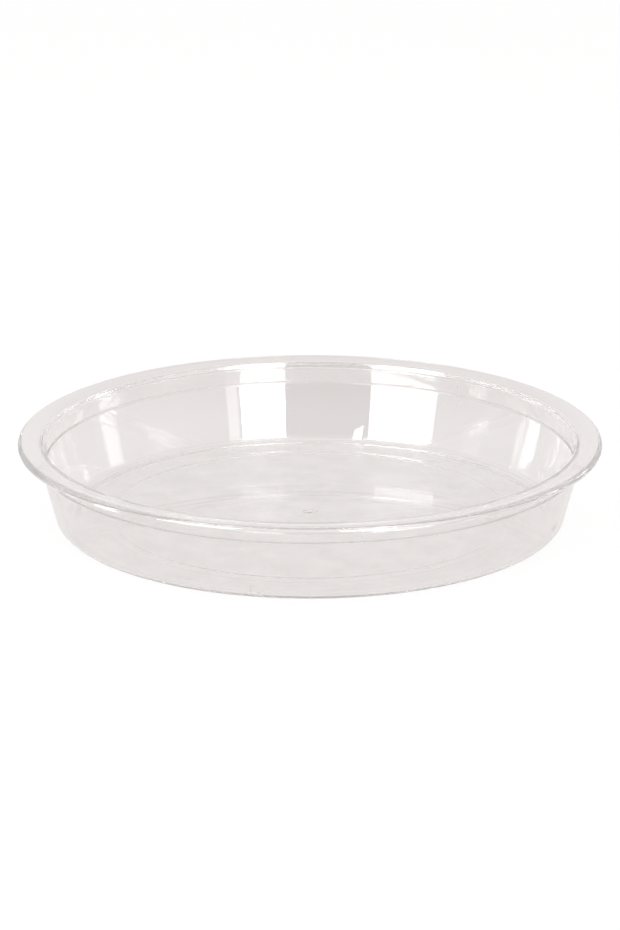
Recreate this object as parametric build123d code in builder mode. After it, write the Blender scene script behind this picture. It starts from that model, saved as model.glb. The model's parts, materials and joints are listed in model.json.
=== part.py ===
"""Clear plant saucer: one injection-moulded dish with a leaning wall, an upright collar and a flat rim."""

import math
import os

from build123d import *

# The sizes that someone would ask for
rim_diameter = 210.0
height = 30.5
wall_thickness = 2.0
floor_thickness = 1.3
wall_lean = 14.6

# The foot: the dish stands on a ring, and its floor rises in two shallow steps towards the middle
foot_ring_width = 7.8
foot_ring_drop = 0.3
floor_band_width = 12.0
panel_step = 0.3
step_run = 2.5
foot_outer_radius = 3.2
foot_inner_radius = 0.5
step_radius = 6.0

# The collar: the top of the wall stands upright, and inside it a small ledge lies at its foot
collar_height = 8.2
collar_ledge = 0.3
ledge_radius = 0.1
collar_blend_radius = 4.0

# The rim: a flange, slightly domed on top, that stands out from the collar and ends in a well rounded edge
flange_reach = 8.0
rim_thickness = 1.9
rim_edge_depth = 2.1
rim_edge_radius = 1.6
rim_under_radius = 0.35
rim_inner_radius = 3.1
flange_dome = 0.8
flange_root_radius = 1.0

# The wedge lugs inside the foot, which keep stacked saucers from jamming
lug_count = 4
lug_first_angle = -103.0
lug_height = 3.8
lug_width = 5.0
lug_reach = 1.2
lug_sink = 0.6

# The gate mark in the middle, where the plastic entered the mould
gate_diameter = 5.4
gate_depth = 0.1
gate_nub_diameter = 1.0
gate_nub_height = 0.3

# Sizes that follow from those above
lean = math.tan(math.radians(wall_lean))
wall_across = wall_thickness / math.cos(math.radians(wall_lean))
rim_radius = rim_diameter / 2
rim_inner_top = height - flange_dome
flange_under = rim_inner_top - rim_thickness
collar_outside = rim_radius - flange_reach
collar_foot = height - collar_height
collar_inside = collar_outside - wall_across + collar_ledge
foot_corner = collar_outside - collar_foot * lean
foot_ring_inside = foot_corner - foot_ring_width
panel_corner = foot_ring_inside - floor_band_width
floor_under = foot_ring_drop
panel_under = floor_under + panel_step
floor_top = floor_under + floor_thickness
panel_top = panel_under + floor_thickness
edge_centre = (rim_radius - rim_edge_radius, height - rim_edge_radius)


def inside_at(z):
    """The radius of the leaning wall's inner face at a height."""
    return foot_corner + z * lean - wall_across


# The corners of the section that are rounded, each with its radius
rim_inside = (collar_inside, rim_inner_top)
ledge_root = (collar_inside, collar_foot)
ledge_edge = (inside_at(collar_foot), collar_foot)
foot_inside = (inside_at(floor_top), floor_top)
floor_edge_top = (panel_corner + step_run, floor_top)
panel_edge_top = (panel_corner, panel_top)
panel_edge_under = (panel_corner, panel_under)
floor_edge_under = (panel_corner + step_run, floor_under)
floor_end_under = (foot_ring_inside, floor_under)
foot_ring_edge = (foot_ring_inside + step_run, 0)
foot_outside = (foot_corner, 0)
collar_break = (collar_outside, collar_foot)
flange_root = (collar_outside, flange_under)
rim_under_edge = (rim_radius, height - rim_edge_depth)
rounded = {
    rim_inside: rim_inner_radius,
    ledge_root: ledge_radius,
    ledge_edge: ledge_radius,
    foot_inside: foot_inner_radius,
    floor_edge_top: step_radius,
    panel_edge_top: step_radius,
    panel_edge_under: step_radius,
    floor_edge_under: step_radius,
    floor_end_under: step_radius,
    foot_ring_edge: step_radius,
    foot_outside: foot_outer_radius,
    collar_break: collar_blend_radius,
    flange_root: flange_root_radius,
    rim_under_edge: rim_under_radius,
}

with BuildPart() as saucer:
    # The whole dish is one section turned about the upright axis
    with BuildSketch(Plane.XZ) as section:
        with BuildLine():
            underside = Polyline(
                (0, panel_under),
                panel_edge_under,
                floor_edge_under,
                floor_end_under,
                foot_ring_edge,
                foot_outside,
                collar_break,
                flange_root,
                rim_under_edge,
                (rim_radius, edge_centre[1]),
            )
            edge = CenterArc(edge_centre, rim_edge_radius, 0, 90)
            crown = TangentArc(edge @ 1, rim_inside, tangent=(-1, 0))
            inside = Polyline(
                rim_inside,
                ledge_root,
                ledge_edge,
                foot_inside,
                floor_edge_top,
                panel_edge_top,
                (0, panel_top),
                (0, panel_under),
            )
        make_face()
        for corner, radius in rounded.items():
            fillet(section.vertices().sort_by_distance(corner)[0], radius)
    revolve(axis=Axis.Z)

    # Each lug is a wedge in the corner of floor and wall, which grows out of the wall to an upright face
    lug_root = inside_at(floor_top) - lug_reach
    for turn in range(lug_count):
        end_face = Plane.XZ.rotated((0, 0, lug_first_angle + turn * 360 / lug_count))
        with BuildSketch(end_face) as lug_end:
            with BuildLine():
                Polyline(
                    (lug_root, floor_top - lug_sink),
                    (lug_root, floor_top),
                    (inside_at(floor_top + lug_height), floor_top + lug_height),
                    (inside_at(floor_top + lug_height) + lug_sink, floor_top + lug_height),
                    (inside_at(floor_top) + lug_sink, floor_top - lug_sink),
                    close=True,
                )
            make_face()
        start = end_face.origin + end_face.x_dir * inside_at(floor_top) - end_face.z_dir * lug_width
        loft(sections=[lug_end.sketch.face(), Vertex(start.X, start.Y, floor_top)])

    # The gate mark is dished underneath, with a nub where it broke off, and stands up as much on top
    with BuildSketch(Plane.XY.offset(panel_under)):
        Circle(gate_diameter / 2)
    extrude(amount=gate_depth, mode=Mode.SUBTRACT)
    with BuildSketch(Plane.XY.offset(panel_top)):
        Circle(gate_diameter / 2)
    extrude(amount=gate_depth)
    with BuildSketch(Plane.XY.offset(panel_under + gate_depth)):
        Circle(gate_nub_diameter / 2)
    extrude(amount=-gate_nub_height)

saucer.part.label = "saucer"

os.makedirs("parts", exist_ok=True)
export_step(saucer.part, "parts/saucer.step")
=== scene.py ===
"""Clear plant saucer on a white table, in studio light."""

import json
import math

import bpy
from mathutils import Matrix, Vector

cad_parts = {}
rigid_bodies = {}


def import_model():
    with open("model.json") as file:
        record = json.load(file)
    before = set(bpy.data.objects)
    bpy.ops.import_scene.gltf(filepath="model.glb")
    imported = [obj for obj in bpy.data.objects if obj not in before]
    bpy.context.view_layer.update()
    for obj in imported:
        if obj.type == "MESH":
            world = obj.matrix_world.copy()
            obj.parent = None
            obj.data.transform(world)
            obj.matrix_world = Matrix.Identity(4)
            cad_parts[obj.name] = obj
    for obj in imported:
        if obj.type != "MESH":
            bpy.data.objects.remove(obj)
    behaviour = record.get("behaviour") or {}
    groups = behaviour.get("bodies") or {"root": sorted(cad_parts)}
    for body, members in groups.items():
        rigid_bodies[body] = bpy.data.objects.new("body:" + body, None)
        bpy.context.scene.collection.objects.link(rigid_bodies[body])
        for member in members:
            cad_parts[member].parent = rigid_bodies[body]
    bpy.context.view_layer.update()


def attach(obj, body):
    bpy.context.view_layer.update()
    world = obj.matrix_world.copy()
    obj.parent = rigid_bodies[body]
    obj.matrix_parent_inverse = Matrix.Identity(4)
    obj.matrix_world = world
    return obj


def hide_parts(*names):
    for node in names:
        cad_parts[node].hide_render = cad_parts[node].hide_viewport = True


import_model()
MM = 0.001

# Camera: a long lens about a metre and a half away, looking down into the dish from the front.
# It is tipped up a little, so that the saucer sits just under the middle of the picture.
camera_distance = 1.5228
camera_elevation = math.radians(18.46)
camera_tip = math.radians(0.696)
camera_lens = 162.71
camera_sensor = 36
camera_reach = 50
camera_data = bpy.data.cameras.new("camera")
camera_data.lens = camera_lens
camera_data.sensor_width = camera_sensor
camera_data.clip_end = camera_reach
camera = bpy.data.objects.new("camera", camera_data)
bpy.context.scene.collection.objects.link(camera)
camera.location = (
    0,
    -camera_distance * math.cos(camera_elevation),
    camera_distance * math.sin(camera_elevation),
)
camera.rotation_euler = (math.pi / 2 - camera_elevation + camera_tip, 0, 0)
bpy.context.scene.camera = camera
bpy.context.scene.view_settings.view_transform = "Standard"

# Light goes in and out of clear plastic many times, and a window is still bright after two reflections in
# it, so the strength of reflected light isn't capped
light_bounces = 96
bpy.context.scene.cycles.max_bounces = light_bounces
bpy.context.scene.cycles.glossy_bounces = light_bounces
bpy.context.scene.cycles.transmission_bounces = light_bounces
bpy.context.scene.cycles.sample_clamp_indirect = 0

# Saucer: a thick clear dish, moulded in one shot of plastic, and the only piece there is.
# Its section is an even shell, from the rounded edge of the flange down both sides of the wall to the middle
# of the floor. It is turned about the upright axis, as both halves of the mould were on a lathe.
rim_radius = 105 * MM
height = 30.5 * MM
wall_thickness = 2 * MM
floor_thickness = 1.3 * MM
wall_lean = math.radians(14.6)
foot_ring_width = 7.8 * MM
foot_ring_drop = 0.3 * MM
floor_band_width = 12 * MM
panel_step = 0.3 * MM
step_run = 2.5 * MM
foot_outer_radius = 3.2 * MM
foot_inner_radius = 0.5 * MM
step_radius = 6 * MM
collar_height = 8.2 * MM
collar_ledge = 0.3 * MM
ledge_radius = 0.1 * MM
collar_blend_radius = 4 * MM
flange_reach = 8 * MM
rim_thickness = 1.9 * MM
rim_edge_depth = 2.1 * MM
rim_edge_radius = 1.6 * MM
rim_under_radius = 0.35 * MM
rim_inner_radius = 3.1 * MM
flange_dome = 0.8 * MM
flange_root_radius = 1 * MM
gate_radius = 2.7 * MM
gate_depth = 0.1 * MM
gate_nub_radius = 0.5 * MM
gate_nub_height = 0.3 * MM
gate_edge_radius = 0.03 * MM

# Sizes that follow from those above
lean = math.tan(wall_lean)
wall_across = wall_thickness / math.cos(wall_lean)
rim_inner_top = height - flange_dome
flange_under = rim_inner_top - rim_thickness
rim_under = height - rim_edge_depth
collar_outside = rim_radius - flange_reach
collar_foot = height - collar_height
collar_inside = collar_outside - wall_across + collar_ledge
foot_corner = collar_outside - collar_foot * lean
foot_ring_inside = foot_corner - foot_ring_width
panel_edge = foot_ring_inside - floor_band_width
floor_under = foot_ring_drop
panel_under = floor_under + panel_step
floor_top = floor_under + floor_thickness
panel_top = panel_under + floor_thickness
gate_under = panel_under + gate_depth
gate_top = panel_top + gate_depth
nub_under = gate_under - gate_nub_height
edge_middle = Vector((rim_radius - rim_edge_radius, 0, height - rim_edge_radius))
crown_run = edge_middle.x - collar_inside
crown_radius = (crown_run**2 + flange_dome**2) / (2 * flange_dome)
crown_turn = math.asin(crown_run / crown_radius)

# How finely the round forms are cut, and how close together two places count as one
edge_vertices = 64
crown_steps = 8
turn_steps = 600
same_place = 0.02 * MM
weld_gap = 0.002 * MM
smooth_below = math.radians(32)


def wall_inside(z):
    """How far the leaning wall's inner face is from the axis at a height."""
    return foot_corner + z * lean - wall_across


def select_only(piece, wanted):
    """Selects, in edit mode, only the vertices whose place the test wants."""
    bpy.ops.mesh.select_all(action="DESELECT")
    bpy.ops.object.mode_set(mode="OBJECT")
    for vertex in piece.data.vertices:
        vertex.select = wanted(vertex.co)
    bpy.ops.object.mode_set(mode="EDIT")


def at(place):
    """A test that wants only what lies at one place."""
    return lambda co: (co - Vector(place)).length < same_place


def draw_on(piece, start, places):
    """Draws the section on from one of its ends, place by place."""
    here = Vector(start)
    for place in places:
        select_only(piece, at(here))
        bpy.ops.mesh.extrude_region_move(TRANSFORM_OT_translate={"value": Vector(place) - here})
        here = Vector(place)


def round_corner(piece, before, corner, after, radius, segments):
    """Rounds one corner of a drawn line, between its two neighbours, with an arc of a given radius."""
    corner = Vector(corner)
    back = (Vector(before) - corner).normalized()
    ahead = (Vector(after) - corner).normalized()
    reach = radius * math.tan((math.pi - back.angle(ahead)) / 2)
    select_only(piece, at(corner))
    bpy.ops.mesh.bevel(affect="VERTICES", offset_type="OFFSET", offset=reach, segments=segments, profile=0.5)


bpy.ops.object.select_all(action="DESELECT")
bpy.ops.mesh.primitive_circle_add(
    vertices=edge_vertices, radius=rim_edge_radius, location=edge_middle, rotation=(math.pi / 2, 0, 0)
)
saucer = bpy.context.object
saucer.name = "clear_saucer"
bpy.ops.object.transform_apply(location=True, rotation=True, scale=True)
bpy.ops.object.mode_set(mode="EDIT")
bpy.ops.mesh.select_mode(type="VERT")

# Only a quarter of the circle stays, as the rounded outer edge of the rim
select_only(saucer, lambda co: co.x < edge_middle.x - same_place or co.z < edge_middle.z - same_place)
bpy.ops.mesh.delete(type="VERT")
edge_top = Vector((edge_middle.x, 0, height))
edge_side = Vector((rim_radius, 0, edge_middle.z))

# Crown of the flange, from the outer edge to the inner edge of the rim
crown_middle = (edge_middle.x, 0, height - crown_radius)
select_only(saucer, at(edge_top))
bpy.ops.mesh.spin(steps=crown_steps, angle=crown_turn, center=crown_middle, axis=(0, 1, 0))
last_turn = crown_turn * (crown_steps - 1) / crown_steps
crown_last = (
    edge_middle.x - crown_radius * math.sin(last_turn),
    0,
    height - crown_radius + crown_radius * math.cos(last_turn),
)

# Inner side: upright collar, small ledge, leaning wall, floor, raised panel and gate mark, to the axis.
# Two plain rings on the wall and on the floor keep the lugs, which melt in later, to a narrow band.
above_lugs = floor_top + 5.5 * MM
short_of_lugs = wall_inside(floor_top) - 2.5 * MM
inner_line = [
    crown_last,
    (collar_inside, 0, rim_inner_top),
    (collar_inside, 0, collar_foot),
    (wall_inside(collar_foot), 0, collar_foot),
    (wall_inside(above_lugs), 0, above_lugs),
    (wall_inside(floor_top), 0, floor_top),
    (short_of_lugs, 0, floor_top),
    (panel_edge + step_run, 0, floor_top),
    (panel_edge, 0, panel_top),
    (gate_radius, 0, panel_top),
    (gate_radius, 0, gate_top),
    (0, 0, gate_top),
]
inner_rounds = {
    1: (rim_inner_radius, 14),
    2: (ledge_radius, 3),
    3: (ledge_radius, 3),
    5: (foot_inner_radius, 6),
    7: (step_radius, 4),
    8: (step_radius, 4),
    9: (gate_edge_radius, 2),
    10: (gate_edge_radius, 2),
}
draw_on(saucer, inner_line[1], inner_line[2:])
for corner, (radius, segments) in inner_rounds.items():
    round_corner(saucer, *inner_line[corner - 1 : corner + 2], radius, segments)

# Outer side: underside of the flange, wall, standing ring, underside of the floor and gate dish, to the axis
outer_line = [
    edge_side,
    (rim_radius, 0, rim_under),
    (collar_outside, 0, flange_under),
    (collar_outside, 0, collar_foot),
    (foot_corner, 0, 0),
    (foot_ring_inside + step_run, 0, 0),
    (foot_ring_inside, 0, floor_under),
    (panel_edge + step_run, 0, floor_under),
    (panel_edge, 0, panel_under),
    (gate_radius, 0, panel_under),
    (gate_radius, 0, gate_under),
    (gate_nub_radius, 0, gate_under),
    (gate_nub_radius, 0, nub_under),
    (0, 0, nub_under),
]
outer_rounds = {
    1: (rim_under_radius, 5),
    2: (flange_root_radius, 6),
    3: (collar_blend_radius, 5),
    4: (foot_outer_radius, 10),
    5: (step_radius, 4),
    6: (step_radius, 4),
    7: (step_radius, 4),
    8: (step_radius, 4),
    9: (gate_edge_radius, 2),
    10: (gate_edge_radius, 2),
    11: (gate_edge_radius, 2),
    12: (gate_edge_radius, 2),
}
draw_on(saucer, outer_line[0], outer_line[1:])
for corner, (radius, segments) in outer_rounds.items():
    round_corner(saucer, *outer_line[corner - 1 : corner + 2], radius, segments)

# The section turned once round the axis
bpy.ops.mesh.select_all(action="SELECT")
bpy.ops.mesh.spin(
    steps=turn_steps, angle=2 * math.pi, use_auto_merge=True, center=(0, 0, 0), axis=(0, 0, 1)
)
bpy.ops.mesh.select_all(action="SELECT")
bpy.ops.mesh.remove_doubles(threshold=weld_gap)
bpy.ops.mesh.normals_make_consistent(inside=False)
bpy.ops.object.mode_set(mode="OBJECT")

# Lugs: four small wedges in the corner of floor and wall, which keep a stack of saucers from jamming.
# Each grows out of the wall and ends in an upright face. They are cut into the mould, so they are part of the
# same shot of plastic and melt into the dish.
lug_count = 4
lug_first_angle = math.radians(-103)
lug_height = 3.8 * MM
lug_width = 5 * MM
lug_reach = 1.2 * MM
lug_sink = 0.6 * MM
lug_edge_radius = 0.15 * MM
lug_top = floor_top + lug_height
lug_root = wall_inside(floor_top) - lug_reach
lug_face = [
    (lug_root, 0, floor_top - lug_sink),
    (lug_root, 0, floor_top),
    (wall_inside(lug_top), 0, lug_top),
    (wall_inside(lug_top) + lug_sink, 0, lug_top),
    (wall_inside(floor_top) + lug_sink, 0, floor_top - lug_sink),
]
lug_point = (wall_inside(floor_top), lug_width, floor_top)
bpy.ops.object.select_all(action="DESELECT")
bpy.ops.mesh.primitive_cone_add(
    vertices=len(lug_face),
    radius1=lug_reach,
    depth=lug_width,
    location=(wall_inside(floor_top), lug_width / 2, floor_top + lug_height / 2),
    rotation=(-math.pi / 2, 0, 0),
)
lugs = bpy.context.object
lugs.name = "lugs"
bpy.ops.object.transform_apply(location=True, rotation=True, scale=True)


def in_turn(places, middle):
    """The places of the upright face in the order in which a hand goes round its middle."""
    return sorted(places, key=lambda place: math.atan2(place[2] - middle[2], place[0] - middle[0]))


# The cone's base and point are moved to the corners of the wedge, and the sharp edges are eased
base = [vertex.co.copy() for vertex in lugs.data.vertices if vertex.co.y < lug_width / 2]
tip = next(vertex.co.copy() for vertex in lugs.data.vertices if vertex.co.y > lug_width / 2)
base_middle = Vector((wall_inside(floor_top), 0, floor_top + lug_height / 2))
face_middle = sum((Vector(place) for place in lug_face), Vector()) / len(lug_face)
bpy.ops.object.mode_set(mode="EDIT")
for was, place in zip(in_turn(base, base_middle) + [tip], in_turn(lug_face, face_middle) + [lug_point]):
    select_only(lugs, at(was))
    bpy.ops.transform.translate(value=Vector(place) - was)
select_only(lugs, lambda co: at(lug_face[1])(co) or at(lug_face[2])(co))
bpy.ops.mesh.select_mode(type="EDGE")
bpy.ops.mesh.bevel(offset_type="WIDTH", offset=lug_edge_radius, segments=3, affect="EDGES")
bpy.ops.mesh.select_mode(type="VERT")
bpy.ops.mesh.select_all(action="SELECT")
bpy.ops.mesh.normals_make_consistent(inside=False)
bpy.ops.mesh.select_all(action="SELECT")
bpy.ops.transform.rotate(value=-lug_first_angle, orient_axis="Z", center_override=(0, 0, 0))
bpy.ops.object.mode_set(mode="OBJECT")
for turn in range(1, lug_count):
    bpy.ops.object.select_all(action="DESELECT")
    lugs.select_set(True)
    bpy.context.view_layer.objects.active = lugs
    bpy.ops.object.duplicate()
    copy = bpy.context.object
    copy.name = f"lug_copy_{turn}"
    bpy.ops.object.mode_set(mode="EDIT")
    bpy.ops.mesh.select_all(action="SELECT")
    bpy.ops.transform.rotate(
        value=-turn * 2 * math.pi / lug_count, orient_axis="Z", center_override=(0, 0, 0)
    )
    bpy.ops.object.mode_set(mode="OBJECT")
bpy.ops.object.select_all(action="DESELECT")
for piece in bpy.data.objects:
    if piece.name.startswith("lug"):
        piece.select_set(True)
bpy.context.view_layer.objects.active = lugs
bpy.ops.object.join()

bpy.ops.object.select_all(action="DESELECT")
saucer.select_set(True)
bpy.context.view_layer.objects.active = saucer
melt = saucer.modifiers.new("melt_lugs_in", "BOOLEAN")
melt.operation = "UNION"
melt.solver = "EXACT"
melt.object = lugs
bpy.ops.object.modifier_apply(modifier=melt.name)
bpy.data.objects.remove(lugs)
bpy.ops.object.mode_set(mode="EDIT")
bpy.ops.mesh.select_all(action="SELECT")
bpy.ops.mesh.remove_doubles(threshold=weld_gap)
bpy.ops.mesh.normals_make_consistent(inside=False)
bpy.ops.object.mode_set(mode="OBJECT")
bpy.ops.object.shade_smooth_by_angle(angle=smooth_below)
even = saucer.modifiers.new("flat_faces_stay_flat", "WEIGHTED_NORMAL")
even.keep_sharp = True
bpy.ops.object.modifier_apply(modifier=even.name)

# Clear plastic: glossy and water-clear, with the soft waves that a moulding keeps from cooling, hairline
# scratches from handling, specks of dust, and painted shade in a darker, rougher band along the ledge. The
# underside is scuffed from the table. Long ways through the plastic, as along the wall, turn a little grey.
wave_scale = 28
wave_depth = 0.02 * MM
scratch_scale = 55
scratch_patch_scale = 21
scratch_stretch = (1, 40, 1)
scratch_depth = 0.006 * MM
speck_scale = 160
haze_scale = 60
scuff_scale = 90
ledge_shade_scale = 70
tint_scale = 45
roughness_of_dust_marks_and_ledge = 0.4
ledge_shade_strength = 0.3
clean_tint = (0.995, 0.992, 0.99, 1)
# The grey for dust specks and for the painted shade along the ledge
dust_and_shade_tint = (0.72, 0.70, 0.68, 1)
clear = bpy.data.materials.new("clear_plastic")
clear.use_nodes = True
tree = clear.node_tree
nodes = tree.nodes
links = tree.links
plastic = nodes["Principled BSDF"]
plastic.inputs["Metallic"].default_value = 0
plastic.inputs["Transmission Weight"].default_value = 1
plastic.inputs["IOR"].default_value = 1.53
on_piece = nodes.new("ShaderNodeTexCoord").outputs["Object"]


def noise(tree, vector, scale, detail=2.0):
    """A soft random pattern at a scale in waves per metre."""
    texture = tree.nodes.new("ShaderNodeTexNoise")
    texture.inputs["Scale"].default_value = scale
    texture.inputs["Detail"].default_value = detail
    tree.links.new(vector, texture.inputs["Vector"])
    return texture.outputs["Fac"]


def spread(tree, value, low, high, to_low, to_high):
    """A value carried from one range to another and held inside it."""
    ranged = tree.nodes.new("ShaderNodeMapRange")
    ranged.inputs["From Min"].default_value = low
    ranged.inputs["From Max"].default_value = high
    ranged.inputs["To Min"].default_value = to_low
    ranged.inputs["To Max"].default_value = to_high
    tree.links.new(value, ranged.inputs["Value"])
    return ranged.outputs["Result"]


def combine(tree, operation, first, second):
    """Two values put together by one sum."""
    sum_node = tree.nodes.new("ShaderNodeMath")
    sum_node.operation = operation
    for socket, value in zip(sum_node.inputs, (first, second)):
        if isinstance(value, (int, float)):
            socket.default_value = value
        else:
            tree.links.new(value, socket)
    return sum_node.outputs["Value"]


def away_from(tree, value, middle):
    """How far a value is from a middle, on either side."""
    return combine(tree, "ABSOLUTE", combine(tree, "SUBTRACT", value, middle), 0)


def scratches(tree, turn, shift):
    """Hairline scratches: thin crests of a pattern drawn out very long one way, and only in places."""
    mapping = tree.nodes.new("ShaderNodeMapping")
    mapping.inputs["Rotation"].default_value = turn
    mapping.inputs["Scale"].default_value = scratch_stretch
    mapping.inputs["Location"].default_value = shift
    tree.links.new(on_piece, mapping.inputs["Vector"])
    crest = noise(tree, mapping.outputs["Vector"], scratch_scale, 0)
    line = spread(tree, away_from(tree, crest, 0.5), 0, 0.004, 1, 0)
    where = spread(tree, noise(tree, mapping.outputs["Vector"], scratch_patch_scale, 1), 0.66, 0.7, 0, 1)
    return combine(tree, "MULTIPLY", line, where)


marks = combine(
    tree,
    "ADD",
    scratches(tree, (0.2, 0.1, 0.5), (0.3, 0.1, 0)),
    scratches(tree, (0.1, -0.2, 2.1), (0, 0.4, 0.2)),
)

# Specks of dust: a dot in the middle of a few of the cells of a fine pattern
specks = nodes.new("ShaderNodeTexVoronoi")
specks.inputs["Scale"].default_value = speck_scale
links.new(on_piece, specks.inputs["Vector"])
speck_near = spread(tree, specks.outputs["Distance"], 0.03, 0.07, 1, 0)
speck_colour = nodes.new("ShaderNodeSeparateColor")
links.new(specks.outputs["Color"], speck_colour.inputs["Color"])
speck_chosen = spread(tree, speck_colour.outputs["Red"], 0.975, 0.98, 0, 1)
dust = combine(tree, "MULTIPLY", speck_near, speck_chosen)

# Painted shade: a darker band in patches along the ledge at the collar's foot, on the inside only, which also
# makes the plastic rougher there
ledge_shade_to = 95.8 * MM
ledge_shade_fades = 96.2 * MM
apart = nodes.new("ShaderNodeSeparateXYZ")
links.new(on_piece, apart.inputs["Vector"])
outwards = nodes.new("ShaderNodeVectorMath")
outwards.operation = "MULTIPLY"
outwards.inputs[1].default_value = (1, 1, 0)
links.new(on_piece, outwards.inputs[0])
from_axis = nodes.new("ShaderNodeVectorMath")
from_axis.operation = "LENGTH"
links.new(outwards.outputs["Vector"], from_axis.inputs[0])
ledge_shade_band = combine(
    tree,
    "MULTIPLY",
    spread(tree, away_from(tree, apart.outputs["Z"], collar_foot), 0.3 * MM, 0.6 * MM, 1, 0),
    spread(tree, from_axis.outputs["Value"], ledge_shade_to, ledge_shade_fades, 1, 0),
)
ledge_shade_patches = spread(tree, noise(tree, on_piece, ledge_shade_scale), 0.3, 0.7, 0.6, 1)
ledge_shade = combine(tree, "MULTIPLY", ledge_shade_band, ledge_shade_patches)

# The surface: soft waves and, on top of them, the scratches
wave_bump = nodes.new("ShaderNodeBump")
wave_bump.inputs["Distance"].default_value = wave_depth
links.new(noise(tree, on_piece, wave_scale, 1), wave_bump.inputs["Height"])
mark_bump = nodes.new("ShaderNodeBump")
mark_bump.invert = True
mark_bump.inputs["Distance"].default_value = scratch_depth
links.new(marks, mark_bump.inputs["Height"])
links.new(wave_bump.outputs["Normal"], mark_bump.inputs["Normal"])
links.new(mark_bump.outputs["Normal"], plastic.inputs["Normal"])

# The roughness: a faint haze everywhere, scuffs underneath, and the scratches, the dust and the painted-shade
# band at the ledge
haze = spread(tree, noise(tree, on_piece, haze_scale, 3), 0.3, 0.7, 0.012, 0.035)
underside = spread(tree, apart.outputs["Z"], 0.7 * MM, 1.2 * MM, 1, 0)
scuff_patches = spread(tree, noise(tree, on_piece, scuff_scale, 3), 0.3, 0.7, 0.1, 0.2)
scuffs = combine(tree, "MULTIPLY", underside, scuff_patches)
dust_marks_and_ledge_band = combine(tree, "ADD", combine(tree, "ADD", marks, dust), ledge_shade)
rough_dust_marks_and_ledge = combine(tree, "MULTIPLY", dust_marks_and_ledge_band, roughness_of_dust_marks_and_ledge)
links.new(combine(tree, "ADD", combine(tree, "ADD", haze, scuffs), rough_dust_marks_and_ledge), plastic.inputs["Roughness"])

# The colour: water-clear, a little greyer in patches and where there is dust, and darker along the ledge as
# painted shade
tint = nodes.new("ShaderNodeMix")
tint.data_type = "RGBA"
tint.inputs["A"].default_value = clean_tint
tint.inputs["B"].default_value = dust_and_shade_tint
# Painted shade: the band along the ledge greys the colour, added to the dust specks
dust_and_ledge_shade = combine(tree, "ADD", dust, combine(tree, "MULTIPLY", ledge_shade, ledge_shade_strength))
tint_patches = spread(tree, noise(tree, on_piece, tint_scale), 0.35, 0.75, 0, 0.05)
links.new(combine(tree, "ADD", dust_and_ledge_shade, tint_patches), tint.inputs["Factor"])
links.new(tint.outputs["Result"], plastic.inputs["Base Color"])
depth_tint = nodes.new("ShaderNodeVolumeAbsorption")
depth_tint.inputs["Color"].default_value = (0.9, 0.89, 0.89, 1)
depth_tint.inputs["Density"].default_value = 8
links.new(depth_tint.outputs["Volume"], nodes["Material Output"].inputs["Volume"])

saucer.data.materials.clear()
saucer.data.materials.append(clear)
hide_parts("saucer")
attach(saucer, "root")

# Table: one plain white sheet that runs out to the horizon, with only the saucer's own faint shadow on it.
# Through the plastic it is the pale grey of white paper in soft light, with painted shade that makes it a
# little deeper behind the saucer.
table_size = 30
table_gap = 0.05 * MM
paper_matt = (0.8, 0.79, 0.785, 1)
paper_near = (0.825, 0.792, 0.784, 1)
paper_shaded_behind = (0.745, 0.708, 0.7, 1)
paper_own_light = 0.92
white = (1, 1, 1, 1)
bpy.ops.object.select_all(action="DESELECT")
bpy.ops.mesh.primitive_plane_add(size=table_size, location=(0, 0, -table_gap))
table = bpy.context.object
table.name = "table"
paper = bpy.data.materials.new("white_paper")
paper.use_nodes = True
tree = paper.node_tree
nodes = tree.nodes
links = tree.links
nodes.remove(nodes["Principled BSDF"])
on_table = nodes.new("ShaderNodeTexCoord").outputs["Object"]
apart = nodes.new("ShaderNodeSeparateXYZ")
links.new(on_table, apart.inputs["Vector"])
# Painted shade: the paper's grey seen through the plastic darkens from near the saucer to behind it
paper_tone = nodes.new("ShaderNodeMix")
paper_tone.data_type = "RGBA"
paper_tone.inputs["A"].default_value = paper_near
paper_tone.inputs["B"].default_value = paper_shaded_behind
links.new(spread(tree, apart.outputs["Y"], 0.09, 0.16, 0, 1), paper_tone.inputs["Factor"])

# White to the camera, and the paper's tone through the plastic and in its gloss
path = nodes.new("ShaderNodeLightPath")
grey_light = nodes.new("ShaderNodeEmission")
links.new(paper_tone.outputs["Result"], grey_light.inputs["Color"])
white_light = nodes.new("ShaderNodeEmission")
white_light.inputs["Color"].default_value = white
own_light = nodes.new("ShaderNodeMixShader")
links.new(path.outputs["Is Camera Ray"], own_light.inputs[0])
links.new(grey_light.outputs[0], own_light.inputs[1])
links.new(white_light.outputs[0], own_light.inputs[2])

# Every other ray meets matt paper, which lights the saucer from below and takes its shadow
by_plastic = combine(tree, "ADD", path.outputs["Is Glossy Ray"], path.outputs["Is Transmission Ray"])
seen = nodes.new("ShaderNodeMath")
seen.operation = "ADD"
seen.use_clamp = True
links.new(path.outputs["Is Camera Ray"], seen.inputs[0])
links.new(by_plastic, seen.inputs[1])
matt = nodes.new("ShaderNodeBsdfDiffuse")
matt.inputs["Color"].default_value = paper_matt
shown = nodes.new("ShaderNodeMixShader")
links.new(combine(tree, "MULTIPLY", seen.outputs[0], paper_own_light), shown.inputs[0])
links.new(matt.outputs[0], shown.inputs[1])
links.new(own_light.outputs[0], shown.inputs[2])
links.new(shown.outputs[0], nodes["Material Output"].inputs["Surface"])
table.data.materials.append(paper)

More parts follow.
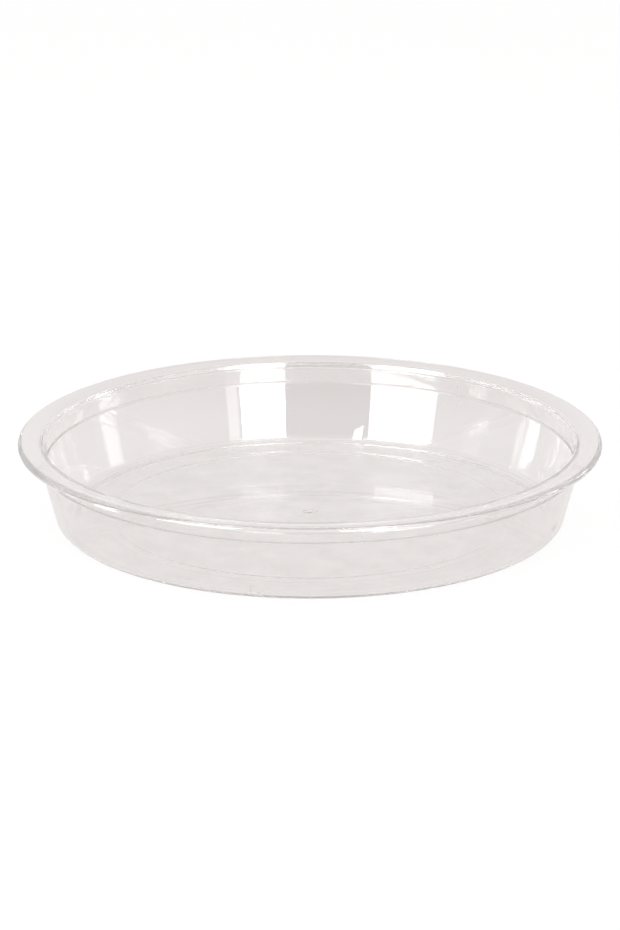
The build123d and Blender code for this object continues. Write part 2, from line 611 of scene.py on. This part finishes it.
# Studio: a window on either side of the camera, each a soft box with a brighter upper part and a second box
# above it. Two more boxes hang high up, and narrow ones stand at the sides and at the back for the streaks on
# the wall. The room between them is pale, apart from the dark gap behind the camera and the dim ceiling.
room_tone = (0.86, 0.83, 0.823, 1)
gap_tone = (0.01, 0.01, 0.01, 1)
ceiling_dimness = 0.35
room = bpy.data.worlds.new("studio")
bpy.context.scene.world = room
room.use_nodes = True
tree = room.node_tree
nodes = tree.nodes
links = tree.links
direction = nodes.new("ShaderNodeTexCoord")
apart = nodes.new("ShaderNodeSeparateXYZ")
links.new(direction.outputs["Generated"], apart.inputs[0])

# The gap lies between the windows, measured as the slope to the side, and ends below the top boxes
forward = combine(tree, "MULTIPLY", apart.outputs["Y"], -1)
sideways = combine(tree, "DIVIDE", apart.outputs["X"], combine(tree, "MAXIMUM", forward, 0.01))
gap_left = spread(tree, sideways, -0.56, -0.5, 0, 1)
gap_right = spread(tree, sideways, 0.19, 0.22, 1, 0)
gap_top = spread(tree, apart.outputs["Z"], 0.42, 0.55, 1, 0)
in_front = spread(tree, forward, 0.02, 0.2, 0, 1)
gap_across = combine(tree, "MULTIPLY", combine(tree, "MULTIPLY", gap_left, gap_right), in_front)
gap = combine(tree, "MULTIPLY", gap_across, gap_top)
ceiling = spread(tree, apart.outputs["Z"], 0.68, 0.76, 0, 1)
walls = nodes.new("ShaderNodeMix")
walls.data_type = "RGBA"
walls.inputs["A"].default_value = room_tone
walls.inputs["B"].default_value = gap_tone
dim_ceiling = combine(tree, "MULTIPLY", ceiling, ceiling_dimness)
links.new(combine(tree, "MAXIMUM", gap, dim_ceiling), walls.inputs["Factor"])
path = nodes.new("ShaderNodeLightPath")
to_camera = nodes.new("ShaderNodeMix")
to_camera.data_type = "RGBA"
to_camera.inputs["B"].default_value = white
links.new(path.outputs["Is Camera Ray"], to_camera.inputs["Factor"])
links.new(walls.outputs["Result"], to_camera.inputs["A"])
links.new(to_camera.outputs["Result"], nodes["Background"].inputs["Color"])

softbox_distance = 2.2
right_window = (11.5, 32)
left_window = (-59, -28)
soft_boxes = [
    ("softbox_right", right_window, (6, 14.2), 10),
    ("softbox_right_upper", right_window, (14.2, 18), 26),
    ("softbox_right_high", right_window, (20, 42), 4),
    ("softbox_right_top", (22, 57), (52, 78), 7),
    ("softbox_right_spill", (33.5, 38.5), (3, 17.3), 1.6),
    ("softbox_left", left_window, (6, 14.2), 7),
    ("softbox_left_upper", left_window, (14.2, 18), 15),
    ("softbox_left_high", (-59.5, -28), (19.3, 42), 6),
    ("softbox_left_top", (-84, -48), (52, 78), 7),
    ("softbox_side_left", (-88, -77), (14, 19), 4),
    ("softbox_far_right", (98, 107.5), (0, 10), 1.3),
    ("softbox_far_right_high", (97, 110), (14, 19), 8),
    ("softbox_back_right", (125.5, 130), (2, 10), 1.5),
    ("softbox_back_right_high", (125.5, 136), (14, 19), 6),
    ("softbox_far_left", (-122, -109), (0, 10), 0.4),
]


def softbox(name, azimuths, elevations, level):
    """A rectangular soft box that faces the saucer and fills these angles as seen from it.
    Azimuth 0 is the camera's side, and it turns towards the right."""
    turn = math.radians(sum(azimuths) / 2)
    up = math.radians(sum(elevations) / 2)
    across = math.radians(azimuths[1] - azimuths[0])
    upright = math.radians(elevations[1] - elevations[0])
    width = 2 * softbox_distance * math.cos(up) * math.tan(across / 2)
    tall = 2 * softbox_distance * math.tan(upright / 2)
    lamp = bpy.data.lights.new(name, "AREA")
    lamp.shape = "RECTANGLE"
    lamp.size = width
    lamp.size_y = tall
    lamp.energy = level * math.pi * width * tall
    box = bpy.data.objects.new(name, lamp)
    bpy.context.scene.collection.objects.link(box)
    box.location = (
        softbox_distance * math.cos(up) * math.sin(turn),
        -softbox_distance * math.cos(up) * math.cos(turn),
        softbox_distance * math.sin(up),
    )
    box.rotation_euler = (math.pi / 2 - up, 0, turn)
    box.visible_camera = False


for name, azimuths, elevations, level in soft_boxes:
    softbox(name, azimuths, elevations, level)
